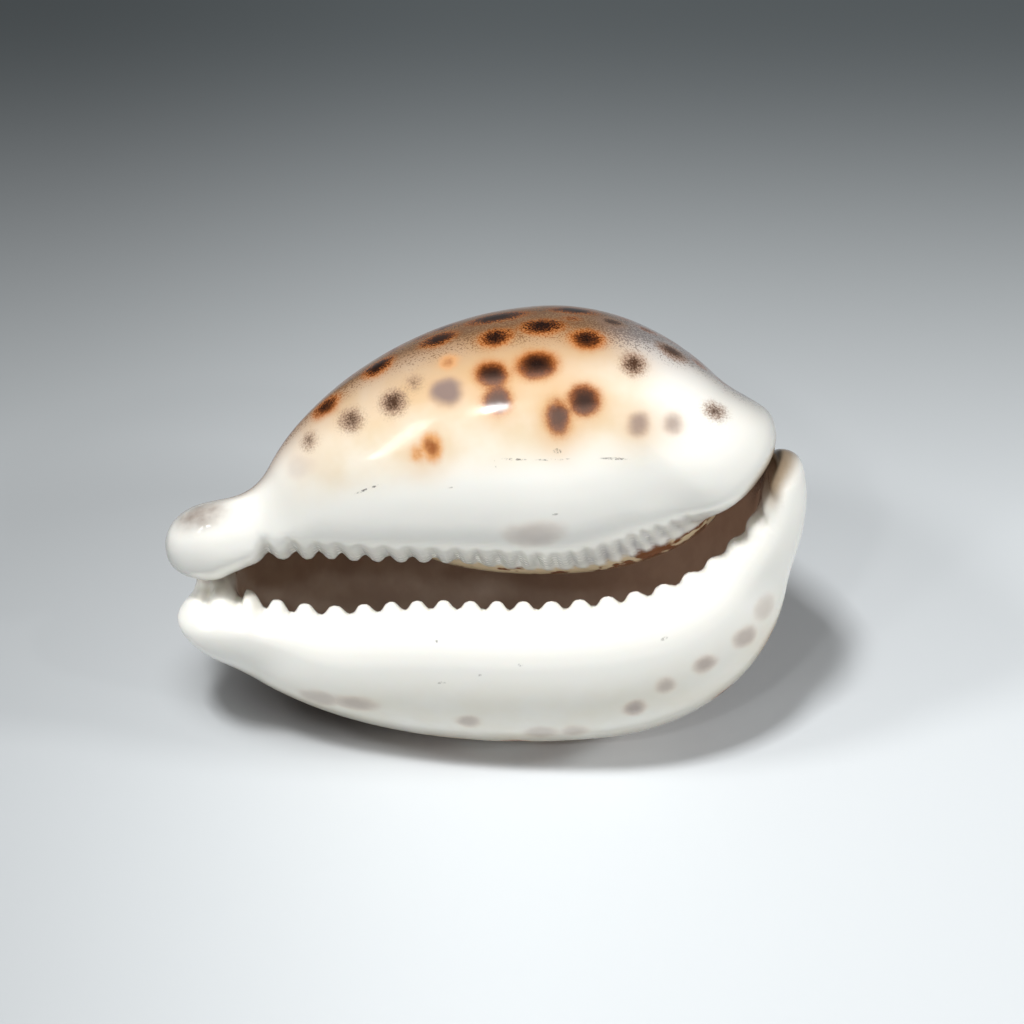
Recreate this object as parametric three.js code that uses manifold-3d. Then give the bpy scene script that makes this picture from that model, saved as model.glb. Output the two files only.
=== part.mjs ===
// Tiger cowrie shell: one natural piece, swollen and rolled, with a long toothed slit along its base.
//
// All lengths are millimetres. The form is worked out in the shell's own axes: x runs from the narrow
// front end to the broad back end, y from the outer lip to the columella, z from the domed back (dorsum)
// to the base. At the end the shell is laid down as it rests, on the side of its dorsum, with z up.
//
// Surfaces are described by functions that give roughly the distance to them, negative inside. Closed
// meshes are made by pushing the points of spheres out to such a surface. Joins and cuts do the rest.
import * as THREE from "three";
import { mergeVertices } from "three/addons/utils/BufferGeometryUtils.js";
import Module from "manifold-3d";

// Body: an egg with its own half length or radius in each direction.
const GIRTH_X = 8.0;            // station of the widest girth on the columellar side
const GIRTH_SKEW = 0.10;        // how far the girth moves back, per mm towards the outer lip
const FRONT_LENGTH_LIP = 52.5;  // girth to front tip, outer lip side
const FRONT_LENGTH_COLUMELLA = 40.5;
const BACK_LENGTH = 31.5;
const DORSUM_FRONT = 0.80;      // the dorsum's length as a share of the base's
const DORSUM_BACK = 0.85;
const WIDTH_LIP = 30.4;
const WIDTH_COLUMELLA = 29.8;
const DORSUM_HEIGHT = 33.0;
const BASE_HEIGHT = 13.0;
const BODY_POWER = 2.08;        // 2 is an ellipsoid, more is squarer

// Swellings at the ends of the slit: centre, radii, blend with the body.
const LOBES = [
  { centre: [-36.4, 5.2, 3.6], radii: [6.2, 5.4, 5.4], blend: 7.5 },
  { centre: [-36.4, -4.8, 3.2], radii: [6.2, 5.6, 5.4], blend: 6.0 },
  { centre: [31.4, 10.2, 3.5], radii: [7.5, 6.6, 7.5], blend: 5.0 },
  { centre: [34.2, 3.9, 1.0], radii: [7.8, 10.2, 8.0], blend: 5.0 },
];

// Slit: points of its middle line with the half width there.
const SLIT_LINE = [
  [-48, -0.2, 1.2], [-42, -0.2, 1.1], [-36, -0.3, 1.1], [-33, 0.0, 1.9], [-29, -0.1, 3.2], [-21, -0.4, 3.6],
  [-10, -0.75, 3.45], [0, -2.0, 3.4], [8, -3.0, 3.2], [15, -2.9, 3.3], [22, -1.7, 3.4], [29, 0.7, 2.8],
  [34, 3.7, 2.0], [38.0, 8.0, 1.4], [40.2, 12.5, 1.2], [41.5, 17.5, 1.4], [42.2, 23, 1.6],
];
const SLIT_STATIONS = 36;
const SLIT_DEPTH_Z = -6.0;       // level that the slit reaches in the middle
const CANAL_FLOOR_RISE = 7.0;    // how much higher the front canal's floor is
const BACK_CANAL_DROP = 3.0;     // how much lower the back canal's floor is
const LIP_ROUND = 5.0;           // rounding of the outer lip's edge
const LIP_ROUND_BACK = 3.0;      // the same at its back end
const COLUMELLA_ROUND = 3.5;
const INNER_ROUND = 2.4;         // rounding of both edges where they meet the hollow

// Teeth: rounded ridges left between grooves that are cut across both lips.
const LIP_TEETH = 22;
const LIP_TEETH_FROM_X = -36.0;
const LIP_TEETH_TO_X = 36.2;
const LIP_GROOVE = { along: 0.95, deep: 2.1, tall: 7.0 };
const COLUMELLA_TEETH = 24;
const COLUMELLA_TEETH_FROM_X = -30.0;
const COLUMELLA_TEETH_TO_X = 28.0;
const COLUMELLA_CROWDING = 0.12;  // how much closer the teeth stand towards the back
const COLUMELLA_GROOVE = { along: 0.85, deep: 4.6, tall: 1.9, tilt: 38 };

// Wall, and the inner whorl that shows as a rim behind the columellar teeth.
const WALL_DORSUM = 2.3;
const WALL_BASE_EXTRA = 5.0;
const WALL_LIP_EXTRA = 1.5;
const WHORL = { centre: [13.0, 5.5, 0.0], front: 27.0, back: 19.3, radius: 10.3, wall: 1.7 };
const WHORL_MOUTH = { size: [44, 16, 6], centre: [12, 15.5, -5] };

// How much closer the rings of points stand at the front end, and at both ends.
const FRONT_BUNCHING = 0.12;
const END_BUNCHING = 0.24;

// Resting pose: the base turned up to one side, the front end dipped, and the worn spot it rests on.
const REST_ROLL = 65;
const REST_PITCH = -8.5;
const REST_FLAT_DEPTH = 0.2;

const manifold = await Module();
manifold.setup();

function smoothstep(from, to, x) {
  const t = Math.min(Math.max((x - from) / (to - from), 0), 1);
  return t * t * (3 - 2 * t);
}

function smoothMin(a, b, blend) {
  const share = Math.min(Math.max(0.5 + 0.5 * (b - a) / blend, 0), 1);
  return b * (1 - share) + a * share - blend * share * (1 - share);
}

// Distance to an ellipsoid, exact enough near its surface.
function ellipsoidDistance(point, centre, radii) {
  const scaled = [0, 1, 2].map((i) => (point[i] - centre[i]) / radii[i]);
  const norm = Math.hypot(...scaled) + 1e-9;
  const slope = Math.hypot(...scaled.map((value, i) => value / radii[i])) + 1e-9;
  return norm * (norm - 1) / slope;
}

// The egg without its end lobes.
function bodyDistance([x, y, z]) {
  const towardsBase = smoothstep(-26, 6, z);
  const towardsColumella = smoothstep(-14, 14, y);
  const front = FRONT_LENGTH_LIP + (FRONT_LENGTH_COLUMELLA - FRONT_LENGTH_LIP) * towardsColumella;
  const fromGirth = x - GIRTH_X + GIRTH_SKEW * Math.min(y, 0);
  const length = fromGirth < 0
    ? front * (DORSUM_FRONT + (1 - DORSUM_FRONT) * towardsBase)
    : BACK_LENGTH * (DORSUM_BACK + (1 - DORSUM_BACK) * towardsBase);
  const radii = [length, y < 0 ? WIDTH_LIP : WIDTH_COLUMELLA, z < 0 ? DORSUM_HEIGHT : BASE_HEIGHT];
  const scaled = [fromGirth, y, z].map((value, i) => Math.abs(value) / radii[i]);
  const sum = scaled.reduce((total, value) => total + value ** BODY_POWER, 1e-12);
  const norm = sum ** (1 / BODY_POWER);
  const lead = sum ** (1 / BODY_POWER - 1);
  const slope = Math.hypot(...scaled.map((value, i) => lead * value ** (BODY_POWER - 1) / radii[i]));
  return (norm - 1) / (slope + 1e-9);
}

function outerDistance(point) {
  const join = (distance, lobe) => smoothMin(
    distance, ellipsoidDistance(point, lobe.centre, lobe.radii), lobe.blend);
  return LOBES.reduce(join, bodyDistance(point));
}

function wallThickness([, y, z]) {
  return WALL_DORSUM + WALL_BASE_EXTRA * smoothstep(-8, 10, z)
    + WALL_LIP_EXTRA * smoothstep(4, -16, y) * smoothstep(-20, 5, z);
}

function hollowDistance(point) {
  return bodyDistance(point) + wallThickness(point);
}

function whorlDistance(point, inset) {
  const length = point[0] < WHORL.centre[0] ? WHORL.front : WHORL.back;
  const radii = [length - inset, WHORL.radius - inset, WHORL.radius - inset];
  return ellipsoidDistance(point, WHORL.centre, radii);
}

// Distance from an origin along a direction at which a surface is crossed, looked for from outside in.
function crossing(distance, origin, direction, reach) {
  const at = (t) => origin.map((value, i) => value + t * direction[i]);
  const step = 1.5;
  let outside = reach;
  while (outside > step && distance(at(outside - step)) > 0) {
    outside -= step;
  }
  let inside = outside - step;
  for (let i = 0; i < 22; i += 1) {
    const middle = (inside + outside) / 2;
    if (distance(at(middle)) > 0) {
      outside = middle;
    } else {
      inside = middle;
    }
  }
  return (inside + outside) / 2;
}

// A closed mesh of a surface: a sphere with its poles on the x axis, each point pushed out to it.
// The rings stand closer together towards both ends, most of all at the narrow front end.
function pushedSphere(distance, centre, around, rings, reach) {
  const sphere = new THREE.SphereGeometry(1, around, rings).rotateZ(Math.PI / 2);
  const points = sphere.attributes.position;
  for (let i = 0; i < points.count; i += 1) {
    const even = new THREE.Vector3().fromBufferAttribute(points, i).normalize();
    const fromFront = Math.acos(THREE.MathUtils.clamp(-even.x, -1, 1));
    const bunched = fromFront - FRONT_BUNCHING * Math.sin(fromFront) - END_BUNCHING * Math.sin(2 * fromFront);
    const girth = Math.hypot(even.y, even.z) > 1e-6 ? Math.sin(bunched) / Math.hypot(even.y, even.z) : 0;
    const direction = [-Math.cos(bunched), even.y * girth, even.z * girth];
    const t = crossing(distance, centre, direction, reach);
    points.setXYZ(i, ...centre.map((value, axis) => value + t * direction[axis]));
  }
  return sphere;
}

function toSolid(geometry) {
  const bare = geometry.clone();
  bare.deleteAttribute("normal");
  bare.deleteAttribute("uv");
  const merged = mergeVertices(bare, 1e-4);
  return new manifold.Manifold(new manifold.Mesh({
    numProp: 3,
    vertProperties: new Float32Array(merged.attributes.position.array),
    triVerts: new Uint32Array(merged.index.array),
  }));
}

function toGeometry(solid) {
  const mesh = solid.getMesh();
  const geometry = new THREE.BufferGeometry();
  geometry.setAttribute("position", new THREE.BufferAttribute(new Float32Array(mesh.vertProperties), 3));
  geometry.setIndex(new THREE.BufferAttribute(new Uint32Array(mesh.triVerts), 1));
  return geometry;
}

const slitCurve = new THREE.CatmullRomCurve3(
  SLIT_LINE.map((point) => new THREE.Vector3(...point)), false, "catmullrom", 0.5);

// Place on the slit's line: its point, the direction across it towards the columella, the half width.
function slitPlace(share) {
  const point = slitCurve.getPointAt(share);
  const tangent = slitCurve.getTangentAt(share);
  const across = new THREE.Vector2(-tangent.y, tangent.x).normalize();
  return { point, across, half: point.z };
}

function offSlit(place, offset, z) {
  return [place.point.x + offset * place.across.x, place.point.y + offset * place.across.y, z];
}

// Share of the curve at which the slit's line passes a station, by halving.
function slitShareAt(x) {
  let low = 0;
  let high = 1;
  for (let i = 0; i < 30; i += 1) {
    const middle = (low + high) / 2;
    if (slitCurve.getPointAt(middle).x < x) {
      low = middle;
    } else {
      high = middle;
    }
  }
  return (low + high) / 2;
}

function slitFloor(x) {
  return SLIT_DEPTH_Z + CANAL_FLOOR_RISE * smoothstep(-26, -34, x) - BACK_CANAL_DROP * smoothstep(32, 38, x);
}

// Rounding of the slit's edge on one side, smaller at the back end of the outer lip.
function edgeRound(x, side) {
  const lip = LIP_ROUND + (LIP_ROUND_BACK - LIP_ROUND) * smoothstep(32, 38, x);
  return side < 0 ? lip : COLUMELLA_ROUND;
}

// Height of a surface over a point of the base, or null where the line up misses it.
function heightAt(distance, [x, y]) {
  const height = -10 + crossing(distance, [x, y, -10], [0, 0, 1], 36);
  return height > -8.4 ? height : null;
}

// One side of the slit's cross-section, from its floor to well above the base.
function slitSide(place, side) {
  const round = edgeRound(place.point.x, side);
  const top = heightAt(outerDistance, offSlit(place, side * (place.half + round), 0)) ?? 4;
  const floor = slitFloor(place.point.x);
  const roof = heightAt(hollowDistance, offSlit(place, side * (place.half + INNER_ROUND), 0)) ?? floor;
  const wallLow = Math.max(Math.min(roof, top - round - INNER_ROUND - 0.4), floor + 0.8);
  const inner = 0.2 + INNER_ROUND * smoothstep(floor + 2, floor + 5, wallLow);
  const profile = [[-0.8, floor], [inner * 0.9, floor + 0.4], [inner, wallLow]];
  for (const angle of [45, 90]) {
    const turn = THREE.MathUtils.degToRad(angle);
    profile.push([inner * (1 - Math.sin(turn)), wallLow + 0.05 + inner * (1 - Math.cos(turn))]);
  }
  for (const angle of [0, 30, 60, 90]) {
    const turn = THREE.MathUtils.degToRad(angle);
    profile.push([round * (1 - Math.cos(turn)), top - round * (1 - Math.sin(turn))]);
  }
  profile.push([round + 0.4, top + 8]);
  return profile.map(([offset, z]) => offSlit(place, side * (place.half + offset), z));
}

// The slit as a closed solid: its cross-sections joined from the front end to the back end.
function slitGeometry() {
  const rows = [];
  for (let i = 0; i <= SLIT_STATIONS; i += 1) {
    const place = slitPlace(i / SLIT_STATIONS);
    rows.push([...slitSide(place, -1), ...slitSide(place, 1).reverse()]);
  }
  const width = rows[0].length;
  const index = [];
  for (let row = 0; row < rows.length - 1; row += 1) {
    for (let i = 0; i < width; i += 1) {
      const next = (i + 1) % width;
      const [a, b] = [row * width + i, row * width + next];
      index.push(a, a + width, b, b, a + width, b + width);
    }
  }
  const last = (rows.length - 1) * width;
  sectionTriangles(rows[0]).forEach(([a, b, c]) => index.push(a, b, c));
  sectionTriangles(rows.at(-1)).forEach(([a, b, c]) => index.push(last + a, last + c, last + b));
  const geometry = new THREE.BufferGeometry();
  geometry.setAttribute("position", new THREE.Float32BufferAttribute(rows.flat(2), 3));
  geometry.setIndex(index);
  return geometry;
}

// Triangles that fill a cross-section, wound the way its points run.
function sectionTriangles(row) {
  const [first, last] = [row[0], row.at(-1)];
  const across = new THREE.Vector2(last[0] - first[0], last[1] - first[1]).normalize();
  const flat = row.map(([x, y, z]) => new THREE.Vector2(
    (x - first[0]) * across.x + (y - first[1]) * across.y, z));
  const faces = THREE.ShapeUtils.triangulateShape(flat, []);
  const turns = ([a, b, c]) => THREE.ShapeUtils.area([flat[a], flat[b], flat[c]]);
  const alongPoints = Math.sign(THREE.ShapeUtils.area(flat));
  return faces.map((face) => (turns(face) * alongPoints > 0 ? face : [face[0], face[2], face[1]]));
}

// A groove: a stretched sphere laid across the slit's edge, its long way turned by a tilt.
function groove(share, side, shape, offset, drop) {
  const place = slitPlace(share);
  const round = edgeRound(place.point.x, side);
  const top = heightAt(outerDistance, offSlit(place, side * (place.half + round), 0)) ?? 4;
  const heading = Math.atan2(side * place.across.y, side * place.across.x);
  const sphere = new THREE.SphereGeometry(1, 6, 6);
  sphere.scale(shape.deep, shape.along, shape.tall);
  sphere.rotateY(THREE.MathUtils.degToRad(-(shape.tilt ?? 0)));
  sphere.rotateZ(heading);
  sphere.translate(...offSlit(place, side * (place.half + offset), top - drop));
  return toSolid(sphere);
}

function grooves() {
  const made = [];
  const lipFrom = slitShareAt(LIP_TEETH_FROM_X);
  const lipTo = slitShareAt(LIP_TEETH_TO_X);
  for (let i = 0; i < LIP_TEETH - 1; i += 1) {
    const share = lipFrom + (lipTo - lipFrom) * (i + 0.5) / (LIP_TEETH - 1);
    made.push(groove(share, -1, LIP_GROOVE, 0, LIP_ROUND));
  }
  for (let i = 0; i < COLUMELLA_TEETH - 1; i += 1) {
    const t = (i + 0.5) / (COLUMELLA_TEETH - 1);
    const along = t + COLUMELLA_CROWDING * t * (1 - t);
    const x = COLUMELLA_TEETH_FROM_X + (COLUMELLA_TEETH_TO_X - COLUMELLA_TEETH_FROM_X) * along;
    made.push(groove(slitShareAt(x), 1, COLUMELLA_GROOVE, 0.6, 0.2));
  }
  return made;
}

// The rolled-in inner turn: a thin shell, open on its far side, kept inside the body's own wall.
function innerWhorl() {
  const outside = toSolid(pushedSphere((point) => whorlDistance(point, 0), WHORL.centre, 18, 12, 34));
  const inside = toSolid(pushedSphere((point) => whorlDistance(point, WHORL.wall), WHORL.centre, 14, 9, 34));
  const mouth = new THREE.BoxGeometry(...WHORL_MOUTH.size).translate(...WHORL_MOUTH.centre);
  return outside.subtract(inside).subtract(toSolid(mouth));
}

function shellSolid() {
  const outside = toSolid(pushedSphere(outerDistance, [0, 0, -2], 38, 42, 60));
  const hollow = toSolid(pushedSphere(hollowDistance, [0, 0, -6], 24, 22, 60));
  let shell = outside.subtract(hollow).subtract(toSolid(slitGeometry()));
  for (const cut of grooves()) {
    shell = shell.subtract(cut);
  }
  return shell.add(innerWhorl());
}

// Lays the shell down, wears the small flat that it rests on, and centres it over the origin.
function laidDown(solid) {
  const pose = new THREE.Matrix4().makeRotationY(THREE.MathUtils.degToRad(REST_PITCH));
  pose.multiply(new THREE.Matrix4().makeRotationX(THREE.MathUtils.degToRad(REST_ROLL)));
  const laid = toGeometry(solid).applyMatrix4(pose);
  laid.computeBoundingBox();
  const box = laid.boundingBox;
  const middle = box.getCenter(new THREE.Vector3());
  laid.translate(-middle.x, -middle.y, -box.min.z - REST_FLAT_DEPTH);
  const ground = new THREE.BoxGeometry(200, 200, 20).translate(0, 0, -10);
  return toGeometry(toSolid(laid).subtract(toSolid(ground)));
}

const shell = new THREE.Mesh(
  laidDown(shellSolid()),
  new THREE.MeshStandardMaterial({ color: 0xf1e9dc, roughness: 0.18, metalness: 0.0 }));
shell.name = "shell";

const model = new THREE.Group();
model.add(shell);

export default model;
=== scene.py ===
"""Dressed look of a tiger cowrie shell that rests on the side of its back with its slit turned up.

The shell is one natural piece. Its form is worked out in the shell's own axes, in millimetres: x runs
from the narrow front end to the broad back end, y from the outer lip to the columella, z from the domed
back (dorsum) to the base. It is then laid down and scaled to metres in the frame of the CAD model.

A field that is a pair of numbers gives where an eased step starts and where it is full, unless its class
says otherwise. At the end of such a pair's name, _x, _y and _z give the axis that it runs along, and _off
stands for the distance from the slit's edge.
"""

import logging
import math
from dataclasses import dataclass, field
from enum import Enum

import bpy
import numpy as np
import openvdb
from mathutils import Matrix, Vector


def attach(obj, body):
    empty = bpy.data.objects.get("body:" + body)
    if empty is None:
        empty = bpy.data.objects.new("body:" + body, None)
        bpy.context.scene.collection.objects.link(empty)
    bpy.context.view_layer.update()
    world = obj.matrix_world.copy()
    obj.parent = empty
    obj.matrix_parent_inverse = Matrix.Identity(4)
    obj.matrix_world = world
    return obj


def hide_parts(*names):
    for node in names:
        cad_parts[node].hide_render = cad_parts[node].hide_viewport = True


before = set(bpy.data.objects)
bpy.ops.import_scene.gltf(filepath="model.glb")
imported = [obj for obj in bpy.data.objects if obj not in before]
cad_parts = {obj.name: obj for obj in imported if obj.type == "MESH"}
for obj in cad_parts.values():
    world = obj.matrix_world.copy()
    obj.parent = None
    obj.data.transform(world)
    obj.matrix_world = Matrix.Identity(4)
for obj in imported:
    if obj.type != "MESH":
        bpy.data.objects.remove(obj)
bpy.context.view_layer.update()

LOG = logging.getLogger("cowrie")
MM = 0.001
Array = np.ndarray
Pair = tuple[float, float]
Triple = tuple[float, float, float]
Socket = bpy.types.NodeSocket
# What a node's input can get: a link, or a number, a vector or a hex colour to set.
Given = Socket | float | tuple | str


# ---------------------------------------------------------------- numbers and colours

def smooth(start: Array | float, end: Array | float, x: Array) -> Array:
    """Eased step from 0 at start to 1 at end.

    Args:
        start: where the step begins.
        end: where it is complete; it may lie below start.
        x: the values to map.

    Returns:
        The eased share, from 0 to 1, of each value.
    """
    t = np.clip((x - start) / (end - start), 0.0, 1.0)
    return t * t * (3.0 - 2.0 * t)


def soft_min(a: Array, b: Array, blend: float) -> Array:
    """Smaller of two distances, with their joint filleted over blend.

    Args:
        a: first distance.
        b: second distance.
        blend: width of the fillet.

    Returns:
        The blended distance.
    """
    share = np.clip(0.5 + 0.5 * (b - a) / blend, 0.0, 1.0)
    return b * (1 - share) + a * share - blend * share * (1 - share)


def soft_max(a: Array, b: Array, blend: float) -> Array:
    """Larger of two distances, with the same fillet as soft_min."""
    return -soft_min(-a, -b, blend)


def rounded_cut(a: Array, b: Array, radius: Array | float) -> Array:
    """Intersection of two bodies whose shared edge is rounded.

    Args:
        a: distance to the first body.
        b: distance to the second body.
        radius: rounding of the edge.

    Returns:
        Distance to the common part.
    """
    a, b = a + radius, b + radius
    outside = np.hypot(np.maximum(a, 0.0), np.maximum(b, 0.0))
    return np.minimum(np.maximum(a, b), 0.0) + outside - radius


def ellipsoid(points: Array, centre: Array, radii: Array) -> Array:
    """Distance to an ellipsoid, close enough near its surface.

    Args:
        points: places in mm, last axis x, y, z.
        centre: the ellipsoid's centre.
        radii: its half axes, which may differ from point to point.

    Returns:
        Distance in mm, negative inside.
    """
    scaled = (points - centre) / radii
    norm = np.sqrt((scaled ** 2).sum(-1)) + 1e-9
    slope = np.sqrt(((scaled / radii) ** 2).sum(-1)) + 1e-9
    return norm * (norm - 1.0) / slope


def linear(colour: str) -> tuple[float, float, float, float]:
    """Linear RGBA of an sRGB hex colour.

    Args:
        colour: six hex digits, with or without a leading hash.

    Returns:
        The four linear channels, opaque.
    """
    digits = colour.lstrip("#")
    shares = [int(digits[i:i + 2], 16) / 255 for i in (0, 2, 4)]
    return (*[s / 12.92 if s <= 0.04045 else ((s + 0.055) / 1.055) ** 2.4 for s in shares], 1.0)


# ---------------------------------------------------------------- form of the shell

@dataclass(frozen=True)
class Egg:
    """The swollen body, an egg with its own half length or radius in each direction, in mm.

    Dorsum_front and dorsum_back are the shares of its half lengths that are left at the dorsum.
    """

    girth_x: float = 8.0
    girth_skew: float = 0.10
    front_lip: float = 52.5
    front_columella: float = 40.5
    back: float = 31.5
    dorsum_front: float = 0.80
    dorsum_back: float = 0.85
    width_lip: float = 30.4
    width_columella: float = 29.8
    dorsum: float = 33.0
    base: float = 13.0
    base_z: Pair = (-26.0, 6.0)
    columella_y: Pair = (-14.0, 14.0)
    power: float = 2.08

    def distance(self, points: Array) -> Array:
        """Distance to the egg.

        Args:
            points: places in mm.

        Returns:
            Distance in mm, negative inside.
        """
        x, y, z = points[..., 0], points[..., 1], points[..., 2]
        to_base = smooth(*self.base_z, z)
        front = self.front_lip + (self.front_columella - self.front_lip) * smooth(*self.columella_y, y)
        front = front * (self.dorsum_front + (1 - self.dorsum_front) * to_base)
        back = self.back * (self.dorsum_back + (1 - self.dorsum_back) * to_base)
        from_girth = x - self.girth_x + self.girth_skew * np.minimum(y, 0.0)
        radii = (np.where(from_girth < 0, front, back),
                 np.where(y < 0, self.width_lip, self.width_columella),
                 np.where(z < 0, self.dorsum, self.base))
        scaled = [np.abs(v) / r for v, r in zip((from_girth, y, z), radii)]
        total = sum(s ** self.power for s in scaled) + 1e-12
        norm = total ** (1 / self.power)
        lead = total ** (1 / self.power - 1)
        slope = np.sqrt(sum((lead * s ** (self.power - 1) / r) ** 2 for s, r in zip(scaled, radii)))
        return (norm - 1) / (slope + 1e-9)


@dataclass(frozen=True)
class Lobe:
    """A swelling at one end of the slit: centre, half axes and the blend with the body, in mm."""

    centre: Triple
    radii: Triple
    blend: float

    def joined(self, points: Array, body: Array) -> Array:
        """Distance to the body with this swelling blended on."""
        return soft_min(body, ellipsoid(points, np.array(self.centre), np.array(self.radii)), self.blend)


@dataclass(frozen=True)
class Along:
    """Where points lie by the slit: arc along it, signed offset from its middle, half width there."""

    arc: Array
    offset: Array
    half: Array


@dataclass
class Slit:
    """The long opening: its middle line, as x, y and half width, and how deep it is cut, in mm.

    Places beside the line are looked up in a table between the corners table_low and table_high.
    """

    line: tuple[Triple, ...] = (
        (-48, -0.2, 1.2), (-42, -0.2, 1.1), (-36, -0.3, 1.1), (-33, -0.1, 1.8), (-29, -0.35, 2.75),
        (-21, -1.2, 2.3), (-10, -1.57, 1.87), (0, -2.57, 1.97), (8, -3.6, 1.8), (15, -3.55, 1.95),
        (22, -2.37, 2.27), (29, 0.5, 2.4), (34, 3.7, 2.0), (37.5, 8.0, 0.8), (40.1, 10.4, 1.0),
        (42.6, 14.0, 1.4), (44.5, 19, 1.6))
    depth_z: float = -5.2
    front_rise: float = 7.0
    front_rise_x: Pair = (-26.0, -34.0)
    back_dip: float = 3.0
    back_dip_x: Pair = (37.0, 40.0)
    lip_round: float = 9.0
    lip_round_front: float = 5.0
    lip_round_back: float = 3.0
    columella_round: float = 9.0
    columella_round_ends: float = 3.5
    round_front_x: Pair = (-32.0, -20.0)
    round_back_x: Pair = (22.0, 38.0)
    round_columella_x: Pair = (34.0, 20.0)
    table_low: Pair = (-52.0, -40.0)
    table_high: Pair = (52.01, 42.01)
    table_step: float = 0.25
    curve: Array = field(init=False)
    arcs: Array = field(init=False)
    xs: Array = field(init=False)
    ys: Array = field(init=False)
    table: Array = field(init=False)

    def __post_init__(self) -> None:
        """Draws the smooth line and a table of places beside it, looked up instead of measured."""
        self.curve = self._smooth_line(np.array(self.line, float))
        lengths = np.linalg.norm(np.diff(self.curve[:, :2], axis=0), axis=1)
        self.arcs = np.concatenate([[0.0], np.cumsum(lengths)])
        self.xs, self.ys = (np.arange(low, high, self.table_step)
                            for low, high in zip(self.table_low, self.table_high))
        self.table = self._measured(np.stack(np.meshgrid(self.xs, self.ys, indexing="ij"), -1))

    @staticmethod
    def _smooth_line(points: Array, per: int = 10) -> Array:
        """Catmull-Rom curve through the points.

        Args:
            points: rows of x, y and half width.
            per: how many steps each stretch is split into.

        Returns:
            The rows of the finer line.
        """
        padded = np.vstack([2 * points[0] - points[1], points, 2 * points[-1] - points[-2]])
        t = np.linspace(0, 1, per, endpoint=False)[:, None]
        rows = []
        for a, b, c, d in zip(padded, padded[1:], padded[2:], padded[3:]):
            cubic = (2 * a - 5 * b + 4 * c - d) * t ** 2 + (3 * b - a - 3 * c + d) * t ** 3
            rows.append(0.5 * (2 * b + (c - a) * t + cubic))
        return np.vstack([*rows, padded[-2][None]])

    def _measured(self, places: Array) -> Array:
        """Arc, signed offset and half width at places in the x, y plane.

        Args:
            places: last axis x, y.

        Returns:
            The three values on the last axis.
        """
        flat = places.reshape(-1, 2)
        best = np.full(len(flat), 1e9)
        out = np.zeros((len(flat), 3))
        for i in range(len(self.curve) - 1):
            start, run = self.curve[i, :2], self.curve[i + 1, :2] - self.curve[i, :2]
            length = self.arcs[i + 1] - self.arcs[i]
            t = np.clip(((flat - start) @ run) / length ** 2, 0, 1)
            off = flat - (start + t[:, None] * run)
            distance = np.hypot(off[:, 0], off[:, 1])
            side = np.sign(run[0] * (flat[:, 1] - start[1]) - run[1] * (flat[:, 0] - start[0]))
            half = self.curve[i, 2] + t * (self.curve[i + 1, 2] - self.curve[i, 2])
            near = distance < best
            best[near] = distance[near]
            out[near] = np.stack([self.arcs[i] + t * length, distance * side, half], -1)[near]
        return out.reshape(*places.shape[:-1], 3)

    def beside(self, points: Array) -> Along:
        """Place of each point by the slit, from the table.

        Args:
            points: places in mm, of which x and y are used.

        Returns:
            Arc, offset (positive towards the columella) and half width.
        """
        i = np.clip((points[..., 0] - self.xs[0]) / self.table_step, 0, len(self.xs) - 1.001)
        j = np.clip((points[..., 1] - self.ys[0]) / self.table_step, 0, len(self.ys) - 1.001)
        a, b = i.astype(int), j.astype(int)
        s, t = (i - a)[..., None], (j - b)[..., None]
        low = self.table[a, b] * (1 - s) + self.table[a + 1, b] * s
        high = self.table[a, b + 1] * (1 - s) + self.table[a + 1, b + 1] * s
        value = low * (1 - t) + high * t
        return Along(value[..., 0], value[..., 1], value[..., 2])

    def arc_at(self, x: float) -> float:
        """Arc at which the middle line passes a station."""
        return float(np.interp(x, self.curve[:, 0], self.arcs))

    def between(self, stations: Pair, arc: Array) -> Array:
        """Eased step between the arcs of two stations."""
        return smooth(self.arc_at(stations[0]), self.arc_at(stations[1]), arc)

    def edge_round(self, at: Along) -> Array:
        """Rounding of the slit's edges: broad along the lips, tighter at both ends.

        Args:
            at: the points' place by the slit.

        Returns:
            The radius at each point, in mm.
        """
        front = self.between(self.round_front_x, at.arc)
        lip = self.lip_round_front + (self.lip_round - self.lip_round_front) * front
        lip = lip + (self.lip_round_back - lip) * self.between(self.round_back_x, at.arc)
        middle = front * self.between(self.round_columella_x, at.arc)
        columella = self.columella_round_ends + (self.columella_round - self.columella_round_ends) * middle
        return np.where(at.offset < 0, lip, columella)

    def floor(self, arc: Array) -> Array:
        """Level that the slit is cut down to: shallower in the front canal, deeper in the back one."""
        front = self.front_rise * self.between(self.front_rise_x, arc)
        return self.depth_z + front - self.back_dip * self.between(self.back_dip_x, arc)


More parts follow.
